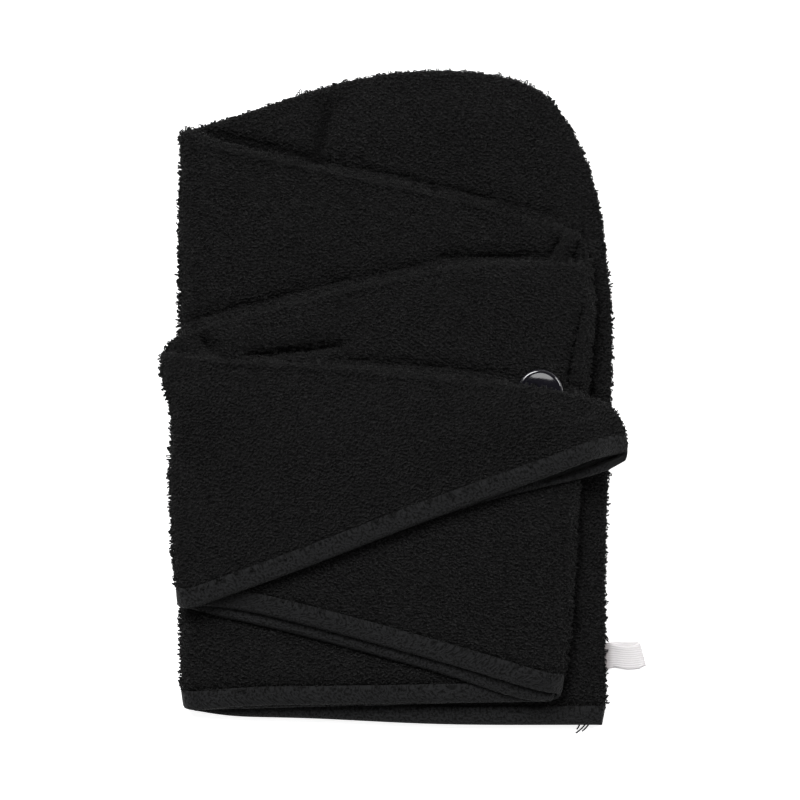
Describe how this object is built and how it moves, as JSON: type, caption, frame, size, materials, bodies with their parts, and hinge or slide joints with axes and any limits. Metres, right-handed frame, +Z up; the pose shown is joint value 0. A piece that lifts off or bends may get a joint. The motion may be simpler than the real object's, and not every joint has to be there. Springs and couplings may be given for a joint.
{
  "type": "hair turban towel",
  "caption": "Terry hair turban towel, a hood with a long tail, lying flat and folded like a fan, with a sewn button and an elastic loop.",
  "frame": {"origin": "the middle of the folded towel's footprint, on the surface that it lies on", "axes": "+Y from the hem to the crown, +X towards the back seam with the elastic loop, +Z up from the surface"},
  "size_m": [0.1866, 0.2522, 0.029],
  "materials": {
    "terry": "black looped terry",
    "hem": "black flat woven border",
    "button": "glossy blue-black",
    "thread": "black sewing thread",
    "elastic": "white ribbed elastic"
  },
  "bodies": {
    "root": {"front_panel": "terry", "back_panel": "terry", "front_hem": "hem", "back_hem": "hem", "button": "button", "button_thread": "thread", "elastic_loop": "elastic"}
  },
  "joints": []
}
